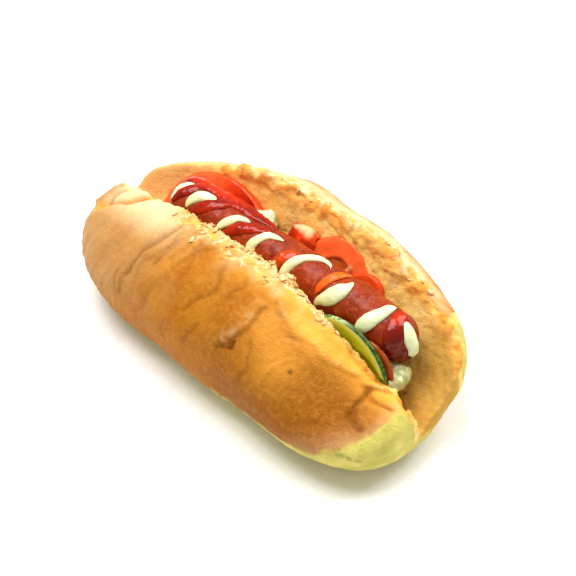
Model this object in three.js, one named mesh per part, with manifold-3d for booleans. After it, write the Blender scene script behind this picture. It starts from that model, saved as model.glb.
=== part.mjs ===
// A hot dog: a soft oval bun with a deep slit along its top, opened a little, and in the slit a sausage with
// strokes of ketchup and mayonnaise, tomato behind it, and cucumber and tomato in front of it.
// Millimetres, +Z up. X runs along the bun, -Y is the front half and +Y the back half.
// The pieces are made about the bun's slit, and the whole is centred on the ground at the end.
import * as THREE from "three";
import Module from "manifold-3d";
import { mergeVertices } from "three/addons/utils/BufferGeometryUtils.js";

const wasm = await Module();
wasm.setup();

// Driving dimensions of the bun. Each half has its own width, the height of its lip while the roll is closed,
// the angle by which it is opened, and how full and how low it is toward its near and its far end.
const BUN_LENGTH = 180;
const BUN_SKEW = 3.5;
const BUN_BOW = 6;
const FRONT = {
  side: -1, width: 45, height: 60.5, open: 14, near: 3.5, far: 2.9, nearDrop: 15.5, farDrop: 8, nearDip: 11,
  closing: { near: 0.3, far: 0.45 },
};
const BACK = {
  side: 1, width: 39.5, height: 65.5, open: 29, near: 2.55, far: 2.4, nearDrop: 4, farDrop: 12, nearDip: 0,
  closing: { near: -0.38, far: 0.1 },
};
const WAIST_HEIGHT = 26;
const NOSE_HEIGHT = 18;
const HINGE_HEIGHT = 10;
const END_FULLNESS = 2.9;
const CRUST_EDGE = 2.2;
const CRUMB_POCKET = 3;
const SOLE_CUT = 1.2;

// How square a half's side is from lip to waist, and how flat from there to the underside
const SIDE_SQUARENESS = 2 / 2.35;
const SOLE_FLATNESS = 0.62;

// The dip of the front lip near the end, and where along each end a half closes again
const LIP_DIP = { at: 0.79, width: 0.2 };
const NEAR_CLOSING = { from: 0.4, to: 0.9 };
const FAR_CLOSING = { from: 0.55, to: 1 };

// A half bends from a little under the slit's bottom to well above it, and its outer side sinks less
const BEND = { under: 8, over: 16 };
const SIDE_SINK = 0.6;

// Relief of the crust: creases as lines in plan, torn tips of the lips, and the edge of a lifted skin layer
const CREASES = [
  { path: [[-84, -23], [-72, -18.5], [-62, -14.5], [-52, -12]], width: 2.8, depth: 1.8 },
  { path: [[75, -26], [75.5, -36], [82, -37]], width: 2, depth: 1.1 },
  { path: [[75, -26], [82.5, -23]], width: 2, depth: 1 },
];
const TIPS = [
  { half: FRONT, x: -78, up: 1.4, width: 4 },
  { half: FRONT, x: 80, up: 1.8, width: 3 },
  { half: BACK, x: -39, up: 2.4, width: 3 },
];
const SKIN_LAYER = { x: 27, y: -27, slant: 0.45, thickness: 0.7, reach: 34 };

// Driving dimensions of the sausage
const SAUSAGE_RADIUS = 9.7;
const SAUSAGE_LENGTH = 131;
const SAUSAGE_AT = { x: 6.3, y: 4, z: 43.5 };
const SAUSAGE_ROOM = 1;

// Gap between pieces that touch in the real thing
const CLEARANCE = 0.35;

// Slices stand against a wall of the slit: the middle's place along the bun and up the wall, half the width
// and height, the thickness, and how far from the slit's middle the foot of the slice's plane lies. A slice
// leans as its half of the bun does, unless it has a lean of its own, in degrees.
const CUCUMBER = { half: FRONT, x: 49.5, up: 14.9, wide: 23.8, tall: 23.8, thick: 2.6, foot: -12.6, lean: -5 };
const TOMATO_FRONT = { half: FRONT, x: 61, up: 22.3, wide: 11.6, tall: 11.6, thick: 1.8, foot: -10, lean: -5 };
const TOMATO_FAR = { half: BACK, x: -43, up: 17, wide: 31, tall: 28, thick: 4.5, foot: 0.5 };
const TOMATO_MID = { half: BACK, x: 21, up: 28.5, wide: 18.5, tall: 20, thick: 4, foot: 0.5 };
const TOMATO_NEAR = { half: BACK, x: 38, up: 31, wide: 9, tall: 9, thick: 3, foot: -2.5 };
const TOMATO_CHUNK = { x: 1, y: 18.5, z: 43, size: [8, 5, 8] };

// Strokes on the sausage: points by place along it, angle round it in degrees (90 on top, more toward the
// front) and half the stroke's width
const MAYONNAISE = [
  [[-54.5, 156, 1.2], [-53, 122, 1.9], [-51, 101, 1.9], [-47.5, 84, 1.2]],
  [[-45, 150, 1.2], [-43.5, 120, 2.3], [-40, 98, 2.4], [-34, 98, 1.2]],
  [[-26.5, 156, 1.1], [-23, 122, 2], [-20, 101, 2], [-14.5, 93, 1.1]],
  [[3, 88, 0.9], [-3.5, 97, 2], [-6.8, 126, 2.2], [-7.6, 158, 2.2], [-5, 186, 1.6]],
  [[27.5, 72, 0.9], [19, 81, 1.9], [14, 114, 2.2], [12, 148, 2.2], [12, 184, 1.6]],
  [[38.8, 80, 1.2], [38.3, 110, 3.1], [35.5, 142, 3.4], [28.5, 186, 1.2]],
  [[58.8, 62, 1.2], [57.4, 100, 2.8], [55, 140, 3.1], [50.5, 186, 1.4]],
  [[69, 88, 1.8], [70.4, 55, 2.3], [70.8, 10, 2.5], [70.4, -42, 2.4], [69.4, -92, 1.8]],
];
const KETCHUP = [
  [[-54, 158, 1.8], [-50, 118, 2.6], [-46, 90, 2.4]],
  [[-40, 156, 1.8], [-36, 118, 2.8], [-31, 92, 2.8], [-26, 70, 1.8]],
  [[-22, 154, 1.4], [-17.5, 126, 2.8], [-11.5, 104, 2.6], [-5, 84, 1.6]],
  [[14.5, 96, 1.1], [10, 110, 2.4], [6.5, 140, 2.7], [4.6, 170, 1.4]],
  [[36, 64, 1], [33, 84, 1.9], [30, 122, 2], [28.6, 152, 1.1]],
  [[62, 60, 1.8], [63.5, 92, 3.2], [66, 135, 3.8], [67.5, 180, 2.8]],
  [[69.5, 172, 1.6], [68.5, 192, 2.2], [65, 212, 1.8]],
];
const MAYONNAISE_HEIGHT = 1.6;
const KETCHUP_HEIGHT = 1.1;
const MAYONNAISE_LUMP = { x: -19.5, y: 16.5, z: 41, size: [5.6, 4.2, 5.6] };
const MAYONNAISE_POOL = { x: 71.5, y: -3.6, z: 29.6, size: [6.4, 7, 5] };

const COLOURS = { crust: 0xd9923c, sausage: 0x8e3a2c, mayonnaise: 0xeceac6, cucumber: 0xa9b53a, tomato: 0xd8472a };

// Helpers for shapes given by formulas
const clamp = (v, lo, hi) => Math.min(hi, Math.max(lo, v));
const mix = (a, b, t) => a + (b - a) * t;
const ramp = (from, to, v) => {
  const t = clamp((v - from) / (to - from), 0, 1);
  return t * t * (3 - 2 * t);
};
const wave = (v, period, phase = 0) => Math.sin((2 * Math.PI * v) / period + phase);
const bump = (v, width) => Math.exp(-((v / width) ** 2));

function distanceTo(path, x, y) {
  let nearest = Infinity;
  for (let i = 0; i + 1 < path.length; i++) {
    const [ax, ay] = path[i];
    const [dx, dy] = [path[i + 1][0] - ax, path[i + 1][1] - ay];
    const t = clamp(((x - ax) * dx + (y - ay) * dy) / (dx * dx + dy * dy), 0, 1);
    nearest = Math.min(nearest, Math.hypot(x - ax - t * dx, y - ay - t * dy));
  }
  return nearest;
}

// Joins and cuts: a solid from a closed geometry, a geometry from a solid, and a solid's largest body
function solid(geometry) {
  const bare = new THREE.BufferGeometry().setIndex(geometry.index);
  bare.setAttribute("position", geometry.getAttribute("position"));
  const merged = mergeVertices(bare, 1e-4);
  const corners = merged.index.array;
  const triVerts = [];
  for (let i = 0; i < corners.length; i += 3) {
    const [a, b, c] = corners.slice(i, i + 3);
    if (a !== b && b !== c && c !== a) triVerts.push(a, b, c);
  }
  const vertProperties = new Float32Array(merged.getAttribute("position").array);
  return new wasm.Manifold(new wasm.Mesh({ numProp: 3, vertProperties, triVerts: new Uint32Array(triVerts) }));
}

function geometryOf(body) {
  const mesh = body.getMesh();
  return new THREE.BufferGeometry()
    .setAttribute("position", new THREE.BufferAttribute(new Float32Array(mesh.vertProperties), 3))
    .setIndex(new THREE.BufferAttribute(new Uint32Array(mesh.triVerts), 1));
}

function largest(body) {
  return body.decompose().reduce((best, part) => (part.volume() > best.volume() ? part : best));
}

const joined = (bodies) => bodies.reduce((all, one) => all.add(one));
const without = (body, cutters) => cutters.reduce((left, cutter) => left.subtract(cutter), body);

// A closed skin over a row of rings. The caps are fans, or for rings that aren't convex a triangulation.
function skinOver(rings, { convex = true } = {}) {
  const count = rings[0].length;
  const position = rings.flatMap((ring) => ring.flatMap((p) => [p.x, p.y, p.z]));
  const index = [];
  for (let i = 0; i + 1 < rings.length; i++) {
    for (let j = 0; j < count; j++) {
      const a = i * count + j;
      const b = i * count + ((j + 1) % count);
      index.push(a, b, a + count, b, b + count, a + count);
    }
  }
  const last = rings.length - 1;
  [0, last].forEach((which) => {
    const flat = rings[which].map((p) => new THREE.Vector2(p.y, p.z));
    const faces = convex
      ? rings[which].slice(2).map((_, i) => [0, i + 1, i + 2])
      : THREE.ShapeUtils.triangulateShape(flat, []);
    faces.forEach(([a, b, c]) => {
      const forward = convex || THREE.ShapeUtils.area([flat[a], flat[b], flat[c]]) > 0;
      const order = forward === (which === last) ? [a, b, c] : [a, c, b];
      index.push(...order.map((n) => which * count + n));
    });
  });
  return new THREE.BufferGeometry()
    .setAttribute("position", new THREE.BufferAttribute(new Float32Array(position), 3))
    .setIndex(index);
}

// The same skin moved outward by a small distance
function grown(geometry, distance) {
  geometry.computeVertexNormals();
  const position = geometry.getAttribute("position");
  const normal = geometry.getAttribute("normal");
  const [p, n] = [new THREE.Vector3(), new THREE.Vector3()];
  for (let i = 0; i < position.count; i++) {
    p.fromBufferAttribute(position, i).addScaledVector(n.fromBufferAttribute(normal, i), distance);
    position.setXYZ(i, p.x, p.y, p.z);
  }
  return geometry;
}

// The bun: how full it still is at a share k of its half length, from 1 in the middle to 0 at the very end
function fullness(k, exponent = END_FULLNESS) {
  return (1 - Math.abs(k) ** exponent) ** (1 / exponent);
}

// The heights of its widest line, of its underside and of the slit's bottom at k
const waistAt = (k) => mix(NOSE_HEIGHT, WAIST_HEIGHT, fullness(k));
const undersideAt = (k) => waistAt(k) * (1 - fullness(k, END_FULLNESS + 1));
const slitBottomAt = (k) => undersideAt(k) + HINGE_HEIGHT * fullness(k, END_FULLNESS + 0.5) ** 0.6;

// It isn't quite straight: its ends lie a little to the front of its middle
const centreAt = (k) => -BUN_SKEW * k - BUN_BOW * k * k;

// The height of one half's lip at k, before the half is opened
function lipAt(half, k) {
  const dip = half.nearDip * bump(k - LIP_DIP.at, LIP_DIP.width);
  const full = half.height - half.nearDrop * ramp(0.1, 1, k) - half.farDrop * ramp(0.1, 1, -k) - dip;
  return waistAt(k) + (full - waistAt(k)) * fullness(k, END_FULLNESS + 0.4);
}

// How far the torn edge of a lip stands above or below it
function tornAt(half, k) {
  const x = (BUN_LENGTH / 2) * k;
  const torn = 0.5 * wave(x, 14.5, half.side) + 0.4 * wave(x, 8.3, 2 * half.side);
  const tips = TIPS.filter((tip) => tip.half === half);
  return tips.reduce((sum, { x: at, up, width }) => sum + up * bump(x - at, width), torn) * fullness(k);
}

// Turns a point of the closed roll about the hinge, as the half is opened
function opened(half, k, y, z) {
  const low = slitBottomAt(k);
  const share = ramp(low - BEND.under, low + BEND.over, z);
  const nearClosing = half.closing.near * ramp(NEAR_CLOSING.from, NEAR_CLOSING.to, k);
  const farClosing = half.closing.far * ramp(FAR_CLOSING.from, FAR_CLOSING.to, -k);
  const angle = THREE.MathUtils.degToRad(half.open * (1 - nearClosing - farClosing)) * share;
  const [c, s] = [Math.cos(angle), Math.sin(angle)];
  const up = z - HINGE_HEIGHT;
  return [half.side * (y * c + up * s) + centreAt(k), HINGE_HEIGHT + up * c - y * s * SIDE_SINK];
}

// Outside of one half, from its lip (u = 0) round its side to the middle of the underside (u = 1)
function crustPoint(half, k, u) {
  const angle = Math.PI * (0.5 + u);
  const out = Math.abs(Math.cos(angle)) ** SIDE_SQUARENESS;
  const y = half.width * fullness(k, k > 0 ? half.near : half.far) * out;
  const rise = Math.sin(angle);
  const waist = waistAt(k);
  const z = rise > 0
    ? waist + (lipAt(half, k) - waist) * rise ** SIDE_SQUARENESS
    : waist - (waist - undersideAt(k)) * Math.abs(rise) ** SOLE_FLATNESS;
  return opened(half, k, y, z + tornAt(half, k) * ramp(0.1, 0, u));
}

// Torn crumb of one half, from its lip (v = 0) down to the slit's bottom (v = 1)
function crumbPoint(half, k, v) {
  const top = lipAt(half, k) - CRUST_EDGE * fullness(k);
  const height = mix(top, slitBottomAt(k), v) + tornAt(half, k) * ramp(0.3, 0, v);
  const [y, z] = opened(half, k, 0, height);
  const hollow = CRUMB_POCKET * fullness(k) * Math.sin(Math.PI * v);
  return [clearOfSausage(half, (BUN_LENGTH / 2) * k, y + half.side * hollow, z), z];
}

// Keeps the crumb off the sausage, which presses it back
function clearOfSausage(half, x, y, z) {
  const beyond = Math.max(0, Math.abs(x - SAUSAGE_AT.x) - (SAUSAGE_LENGTH / 2 - SAUSAGE_RADIUS));
  const square = (SAUSAGE_RADIUS + SAUSAGE_ROOM) ** 2 - beyond ** 2 - (z - SAUSAGE_AT.z) ** 2;
  if (square <= 0) return y;
  return SAUSAGE_AT.y + half.side * Math.max(half.side * (y - SAUSAGE_AT.y), Math.sqrt(square));
}

// Relief of the crust: soft lumps all over, folds down the front's far half, creases and a lifted skin layer
function crustRelief(half, x, y, z) {
  const lumps = 0.45 * wave(x + 0.6 * z, 53, 0.4) + 0.35 * wave(x - 0.9 * z, 37, 1.9) * wave(z, 31, 1);
  if (half === BACK) return lumps;
  const upper = ramp(18, 34, z);
  const folds = (0.4 * wave(x + 0.3 * z, 18.5, 0.6) + 0.25 * wave(x + 0.5 * z, 11, 2)) * ramp(8, -22, x) * upper;
  const cuts = CREASES.reduce((sum, c) => sum + c.depth * bump(distanceTo(c.path, x, y), c.width), 0) * upper;
  const past = x - (SKIN_LAYER.x + SKIN_LAYER.slant * (y - SKIN_LAYER.y));
  const along = ramp(-52, -45, y) * ramp(-22, -28, y);
  const layer = SKIN_LAYER.thickness * ramp(1.6, -1, past) * ramp(-SKIN_LAYER.reach, -4, past) * along;
  return lumps + folds - cuts + layer;
}

const crumbRelief = (x, z) => 0.3 * wave(x, 11, 0.8) * wave(z, 13, 2) + 0.25 * wave(x + z, 7.7, 1);

// Moves the points of a row square to the row, to its outer side, by their own height
function raised(row, side, heightAt) {
  return row.map(([y, z], i) => {
    const [y0, z0] = row[Math.max(i - 1, 0)];
    const [y1, z1] = row[Math.min(i + 1, row.length - 1)];
    const share = (side * heightAt(y, z)) / Math.hypot(y1 - y0, z1 - z0);
    return [y + (z1 - z0) * share, z - (y1 - y0) * share];
  });
}

const FRONT_STEPS = 24;
const BACK_STEPS = 14;
const CRUMB_STEPS = 8;
const STATIONS = 58;
const LAST_STATION = 0.97;
const CROWDED_ENDS = 0.75;

function rowOf(steps, pointAt) {
  return Array.from({ length: steps + 1 }, (_, i) => pointAt(i / steps));
}

// One closed section of the bun at k
function bunRing(k) {
  const x = (BUN_LENGTH / 2) * k;
  const full = fullness(k);
  const crust = (half, steps) => raised(
    rowOf(steps, (u) => crustPoint(half, k, u)), -half.side, (y, z) => full * crustRelief(half, x, y, z));
  const crumb = (half) => raised(
    rowOf(CRUMB_STEPS, (v) => crumbPoint(half, k, v)), half.side, (y, z) => full * crumbRelief(x, z));
  const ring = [
    ...crust(FRONT, FRONT_STEPS),
    ...crust(BACK, BACK_STEPS).reverse().slice(1),
    ...crumb(BACK),
    ...crumb(FRONT).reverse().slice(1),
  ];
  return ring.map(([y, z]) => new THREE.Vector3(x, y, Math.max(z, SOLE_CUT)));
}

function bunGeometry() {
  const rings = [];
  for (let i = 0; i <= STATIONS; i++) {
    const t = mix(-LAST_STATION, LAST_STATION, i / STATIONS);
    rings.push(bunRing(mix(t, Math.sin((Math.PI / 2) * t), CROWDED_ENDS)));
  }
  return skinOver(rings, { convex: false });
}

// The sausage: its radius at a place along it, with rounded ends and a casing that isn't quite even
function sausageRadiusAt(x) {
  const beyond = Math.max(0, Math.abs(x - SAUSAGE_AT.x) - (SAUSAGE_LENGTH / 2 - SAUSAGE_RADIUS));
  const even = Math.sqrt(Math.max(0, SAUSAGE_RADIUS ** 2 - beyond ** 2));
  return even - 0.2 * ramp(0, 4, SAUSAGE_RADIUS - beyond) * (1 + wave(x, 44, 1));
}

function sausageGeometry(grow = 0) {
  const half = SAUSAGE_LENGTH / 2;
  const stations = 26;
  const sides = 24;
  const rings = [];
  for (let i = 0; i <= stations; i++) {
    const share = -Math.cos(Math.PI * mix(0.03, 0.97, i / stations));
    const x = SAUSAGE_AT.x + half * Math.sign(share) * Math.abs(share) ** 0.8;
    const radius = sausageRadiusAt(x) + grow;
    const ring = [];
    for (let j = 0; j < sides; j++) {
      const angle = (2 * Math.PI * j) / sides;
      const [y, z] = [radius * Math.cos(angle), radius * Math.sin(angle)];
      ring.push(new THREE.Vector3(x + grow * share, SAUSAGE_AT.y + y, SAUSAGE_AT.z + z));
    }
    rings.push(ring);
  }
  return skinOver(rings);
}

// The point at a height over the sausage's skin, straight above or below p
function overSkin(p, height) {
  const reach = SAUSAGE_LENGTH / 2 - SAUSAGE_RADIUS;
  const foot = new THREE.Vector3(
    clamp(p.x, SAUSAGE_AT.x - reach, SAUSAGE_AT.x + reach), SAUSAGE_AT.y, SAUSAGE_AT.z);
  return p.clone().sub(foot).setLength(SAUSAGE_RADIUS + height).add(foot);
}

// A stroke of sauce that hugs the sausage, thinning out at both its ends
function strokeGeometry(points, height) {
  const steps = 2 * points.length + 1;
  const sides = 6;
  const sunk = 1.3;
  const edge = -0.35;
  const route = new THREE.CatmullRomCurve3(points.map((p) => new THREE.Vector3(...p)));
  const placeAt = (t) => {
    const { x, y: degrees } = route.getPoint(clamp(t, 0, 1));
    const angle = THREE.MathUtils.degToRad(degrees);
    const radius = sausageRadiusAt(x);
    return new THREE.Vector3(x, SAUSAGE_AT.y + radius * Math.cos(angle), SAUSAGE_AT.z + radius * Math.sin(angle));
  };
  const rings = [];
  for (let i = 0; i <= steps; i++) {
    const t = i / steps;
    const centre = placeAt(t);
    const direction = placeAt(t + 0.02).sub(placeAt(t - 0.02));
    const side = overSkin(centre, 1).sub(overSkin(centre, 0)).cross(direction).normalize();
    const taper = Math.sqrt(Math.max(0.06, 1 - Math.abs(2 * t - 1) ** 5));
    const width = route.getPoint(t).z * taper;
    const ring = [];
    for (let j = 0; j < sides; j++) {
      const angle = (2 * Math.PI * (j + 0.5)) / sides;
      const rise = Math.sin(angle) > 0 ? height * taper : sunk;
      const across = centre.clone().addScaledVector(side, width * Math.cos(angle));
      ring.push(overSkin(across, edge + rise * Math.sin(angle)));
    }
    rings.push(ring);
  }
  return skinOver(rings);
}

// A round slice that leans with its wall of the slit
function sliceGeometry({ half, x, up, wide, tall, thick, foot, lean = half.open }, grow = 0) {
  const edge = thick / 2 + grow;
  const rounding = Math.min(0.8, thick / 3);
  const outline = [
    [0, -edge], [wide + grow - rounding, -edge], [wide + grow, -edge + rounding],
    [wide + grow, edge - rounding], [wide + grow - rounding, edge], [0, edge],
  ].map(([r, y]) => new THREE.Vector2(r, y));
  const turn = -half.side * THREE.MathUtils.degToRad(lean);
  return new THREE.LatheGeometry(outline, 30)
    .scale(1, 1, tall / wide)
    .translate(0, 0, up)
    .rotateX(turn)
    .translate(x, foot, HINGE_HEIGHT);
}

// A rounded lump, more or less uneven
function lumpGeometry({ x, y, z, size }, uneven = 0, grow = 0) {
  const ball = new THREE.IcosahedronGeometry(1, 2);
  const position = ball.getAttribute("position");
  const p = new THREE.Vector3();
  for (let i = 0; i < position.count; i++) {
    p.fromBufferAttribute(position, i);
    p.multiplyScalar(1 + uneven * (wave(p.x + 0.4 * p.z, 1.1, 0.5) * wave(p.z, 1.3, 1) + 0.5 * wave(p.y + p.x, 0.9)));
    p.set(p.x * (size[0] + grow), p.y * (size[1] + grow), p.z * (size[2] + grow));
    position.setXYZ(i, p.x, p.y, p.z);
  }
  return ball.translate(x, y, z);
}

// What stands in the slit is cut back to the bun, to the sausage and to what was put in before it
const bun = solid(bunGeometry());
const bunRoom = solid(grown(bunGeometry(), CLEARANCE)).add(bun);
const sausageRoom = solid(sausageGeometry(CLEARANCE));
const sliceRooms = [];

function fitted(geometry, room) {
  const piece = largest(without(solid(geometry), [bunRoom, sausageRoom, ...sliceRooms]));
  sliceRooms.push(solid(room));
  return piece.simplify(0.15);
}

const fittedSlice = (slice) => fitted(sliceGeometry(slice), sliceGeometry(slice, CLEARANCE));
const fittedLump = (lump, uneven) => fitted(lumpGeometry(lump, uneven), lumpGeometry(lump, uneven, CLEARANCE));

const cucumber = fittedSlice(CUCUMBER);
const tomatoFront = fittedSlice(TOMATO_FRONT);
const tomatoFar = fittedSlice(TOMATO_FAR);
const tomatoMid = fittedSlice(TOMATO_MID);
const tomatoNear = fittedSlice(TOMATO_NEAR);
const tomatoChunk = fittedLump(TOMATO_CHUNK, 0.12);
const pool = fittedLump(MAYONNAISE_POOL, 0.04);

const sauces = joined([
  ...MAYONNAISE.map((points) => solid(strokeGeometry(points, MAYONNAISE_HEIGHT))),
  ...KETCHUP.map((points) => solid(strokeGeometry(points, KETCHUP_HEIGHT))),
  solid(lumpGeometry(MAYONNAISE_LUMP)),
]);
const dressed = largest(solid(sausageGeometry()).add(without(sauces, [bunRoom, ...sliceRooms]))).simplify(0.07);

const hotDog = new THREE.Group();

function addPiece(name, body, colour, roughness) {
  const material = new THREE.MeshStandardMaterial({ color: colour, roughness, metalness: 0 });
  const mesh = new THREE.Mesh(geometryOf(body), material);
  mesh.name = name;
  hotDog.add(mesh);
}

addPiece("bun", bun, COLOURS.crust, 0.7);
addPiece("sausage_with_sauces", dressed, COLOURS.sausage, 0.3);
addPiece("mayonnaise_pool", pool, COLOURS.mayonnaise, 0.25);
addPiece("cucumber_slice", cucumber, COLOURS.cucumber, 0.3);
addPiece("tomato_slice_front", tomatoFront, COLOURS.tomato, 0.25);
addPiece("tomato_slice_far", tomatoFar, COLOURS.tomato, 0.25);
addPiece("tomato_slice_mid", tomatoMid, COLOURS.tomato, 0.25);
addPiece("tomato_slice_near", tomatoNear, COLOURS.tomato, 0.25);
addPiece("tomato_chunk", tomatoChunk, COLOURS.tomato, 0.3);

const box = new THREE.Box3().setFromObject(hotDog);
const middle = box.getCenter(new THREE.Vector3());
hotDog.position.set(-middle.x, -middle.y, -box.min.z);

export default hotDog;
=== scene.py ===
# %% [markdown]
# # A hot dog, step by step
# This script dresses a set of plain solids as food: a soft bun with a torn slit, a sausage, strokes of ketchup
# and mayonnaise, tomato and cucumber. The solids say where everything is and how big it is. Each piece made
# here takes a solid's place and adds what the eye expects: crust and crumb, gloss, folds and small tears.

# %% Load the solids and the tools
import math

import bpy
import numpy as np
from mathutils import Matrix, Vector, noise


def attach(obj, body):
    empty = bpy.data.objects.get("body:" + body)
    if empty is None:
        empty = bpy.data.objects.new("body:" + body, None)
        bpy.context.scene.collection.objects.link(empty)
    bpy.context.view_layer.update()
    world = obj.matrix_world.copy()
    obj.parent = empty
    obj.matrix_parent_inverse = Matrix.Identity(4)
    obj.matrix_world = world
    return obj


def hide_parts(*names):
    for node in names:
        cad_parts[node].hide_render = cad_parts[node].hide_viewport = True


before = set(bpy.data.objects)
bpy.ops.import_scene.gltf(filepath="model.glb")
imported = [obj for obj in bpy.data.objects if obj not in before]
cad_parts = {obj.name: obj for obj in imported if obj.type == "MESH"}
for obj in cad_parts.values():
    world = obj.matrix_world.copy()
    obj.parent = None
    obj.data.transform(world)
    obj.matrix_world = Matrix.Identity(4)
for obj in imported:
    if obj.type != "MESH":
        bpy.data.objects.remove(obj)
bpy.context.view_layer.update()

MM = 0.001
print("solids:", ", ".join(sorted(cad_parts)))

# %% [markdown]
# ## Colours and shader nodes
# Colours are picked as sRGB hex values, as on a screen, but a shader calculates with linear light, so one
# function turns them over. One more adds a shader node with its settings and links, of whatever kind it is.
# Nodes could also be added by hand in the shader editor, but in code a finish can be read and changed in place.

# %% Colours and shader nodes
def linear(hex_colour):
    """An sRGB hex colour as linear red, green and blue, and 1 for opaque."""
    channels = [int(hex_colour[i:i + 2], 16) / 255 for i in (1, 3, 5)]
    return [c / 12.92 if c <= 0.04045 else ((c + 0.055) / 1.055) ** 2.4 for c in channels] + [1.0]


def add(tree, kind, inputs=None, **settings):
    """Adds a node. An input is given by its name or number, as a value or as another node's output."""
    made = tree.nodes.new(kind)
    for key, value in settings.items():
        setattr(made, key, value)
    for key, value in (inputs or {}).items():
        if isinstance(value, bpy.types.NodeSocket):
            tree.links.new(value, made.inputs[key])
        else:
            made.inputs[key].default_value = value
    return made


def new_material(name, **finish):
    """A material with its Principled shader, the finish set on its sockets, and Object coordinates."""
    material = bpy.data.materials.new(name)
    material.use_nodes = True
    tree = material.node_tree
    tree.nodes.clear()
    shader = add(tree, "ShaderNodeBsdfPrincipled")
    for key, value in finish.items():
        shader.inputs[key.replace("_", " ")].default_value = value
    add(tree, "ShaderNodeOutputMaterial", {"Surface": shader.outputs["BSDF"]})
    place = add(tree, "ShaderNodeTexCoord").outputs["Object"]
    return material, tree, shader, place


# %% [markdown]
# Food is never one colour, so a colour is laid on in coats, like paint through a stencil. A stencil is an area
# painted on the mesh, a grain of some size in millimetres, or both at once. Each coat covers up to its share.

# %% Colour in coats
def coats(tree, place, ground, layers):
    """Lays the colour of each layer over the ground, one after another, and returns the colour on top."""
    colour = linear(ground)
    for layer in layers:
        share = layer.get("most", 1.0)
        if "grain" in layer:
            spots = add(tree, "ShaderNodeTexNoise", {"Vector": place, "Scale": 1 / (layer["grain"] * MM),
                                                     "Detail": 3.0, "Roughness": 0.55})
            low, high = layer["span"]
            # A Map Range node's inputs 1 and 2 are the range read, and 3 and 4 the range given back
            share = add(tree, "ShaderNodeMapRange", {0: spots.outputs["Fac"], 1: low, 2: high, 4: share}).outputs[0]
        if "area" in layer:
            painted = add(tree, "ShaderNodeAttribute", attribute_name=layer["area"]).outputs["Fac"]
            share = add(tree, "ShaderNodeMath", {0: painted, 1: share}, operation="MULTIPLY").outputs[0]
        # A Mix node has inputs for each type of data: 6 and 7 are its two colours
        mixed = add(tree, "ShaderNodeMix", {0: share, 6: colour, 7: linear(layer["colour"])}, data_type="RGBA")
        colour = mixed.outputs[2]
    return colour


# %% [markdown]
# ## Meshes as arrays
# A bun has tens of thousands of points. Read and written as whole arrays, in millimetres, they can all be moved
# at once by a formula, which is quicker than a loop over the points and easier to read.

# %% Meshes as arrays
def points_of(piece):
    """A piece's points in millimetres, one row a point."""
    flat = np.empty(len(piece.data.vertices) * 3, np.float32)
    piece.data.vertices.foreach_get("co", flat)
    return flat.reshape(-1, 3).astype(float) / MM


def move_points(piece, points):
    """Puts a piece's points where the rows say."""
    piece.data.vertices.foreach_set("co", (points * MM).astype(np.float32).ravel())
    piece.data.update()


def normals_of(piece):
    """The way out of the surface at each point."""
    flat = np.empty(len(piece.data.vertices) * 3, np.float32)
    piece.data.vertex_normals.foreach_get("vector", flat)
    return flat.reshape(-1, 3).astype(float)


def paint(piece, **areas):
    """Keeps one number a point for each area, for a material to read."""
    for name, values in areas.items():
        layer = piece.data.attributes.get(name) or piece.data.attributes.new(name, "FLOAT", "POINT")
        layer.data.foreach_set("value", np.clip(values, 0, 1).astype(np.float32))


# %% [markdown]
# Dough rises and tears without any plan, and noise stands for that. The number given is the size of its lumps
# in millimetres, so it can be measured on the real food.

# %% Noise and ramps
def lumps(points, size, seed=0):
    """Smooth noise of about -1 to 1, with lumps of that size in millimetres."""
    shift = Vector((17.3 * seed, 5.1 * seed, 29.7 * seed))
    return 1.6 * np.array([noise.noise(Vector(p) + shift) for p in points / size])


def pores(points, size, seed=0):
    """Rounded cells: 0 in the middle of each cell, about 1 on the walls between them."""
    shift = Vector((3.7 * seed, 11.3 * seed, 7.9 * seed))
    return np.array([noise.voronoi(Vector(p) + shift)[0][0] for p in points / size])


def ease(low, high, values):
    """A soft ramp: 0 at low, 1 at high, and level beyond them. It falls where low is the greater one."""
    t = np.clip((values - low) / (high - low), 0, 1)
    return t * t * (3 - 2 * t)


def hill(values, width):
    """A soft hill: 1 where the values are 0, and next to nothing at twice the width."""
    return np.exp(-(values / width) ** 2)


# %% [markdown]
# ## Making and finishing pieces
# An operator acts on all that is selected, so every step first selects its own piece alone. A solid's copy is
# loose triangles, which are joined at their corners before anything else is done to it.

# %% Making and finishing pieces
def select_only(piece):
    """Selects a piece alone and makes it the active one."""
    bpy.ops.object.select_all(action="DESELECT")
    piece.select_set(True)
    bpy.context.view_layer.objects.active = piece


def modify(piece, kind, **settings):
    """Adds a modifier and applies it."""
    select_only(piece)
    modifier = piece.modifiers.new(kind.title(), kind)
    for key, value in settings.items():
        setattr(modifier, key, value)
    bpy.ops.object.modifier_apply(modifier=modifier.name)


def even_net(piece, size, smoothing):
    """Lays an even net of small squares over a piece, and smooths its corners."""
    modify(piece, "REMESH", mode="VOXEL", voxel_size=size * MM)
    modify(piece, "SMOOTH", factor=0.5, iterations=smoothing)
    return points_of(piece)


def copy_of(node, name):
    """A copy of a solid, joined at its corners. The solid itself is left alone."""
    piece = bpy.data.objects.new(name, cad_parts[node].data.copy())
    bpy.context.scene.collection.objects.link(piece)
    piece.data.materials.clear()
    select_only(piece)
    bpy.ops.object.mode_set(mode="EDIT")
    bpy.ops.mesh.select_all(action="SELECT")
    bpy.ops.mesh.remove_doubles(threshold=0.002 * MM)
    bpy.ops.object.mode_set(mode="OBJECT")
    return piece


def finish_piece(piece, material, slot, *nodes):
    """Gives a piece its material, smooth shading and its body, and hides the solids that it stands for."""
    piece.data.materials.clear()
    piece.data.materials.append(material)
    select_only(piece)
    bpy.ops.object.shade_smooth()
    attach(piece, "root")
    if nodes:
        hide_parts(*nodes)
    print(f"{piece.name}: {len(piece.data.vertices)} points")


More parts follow.
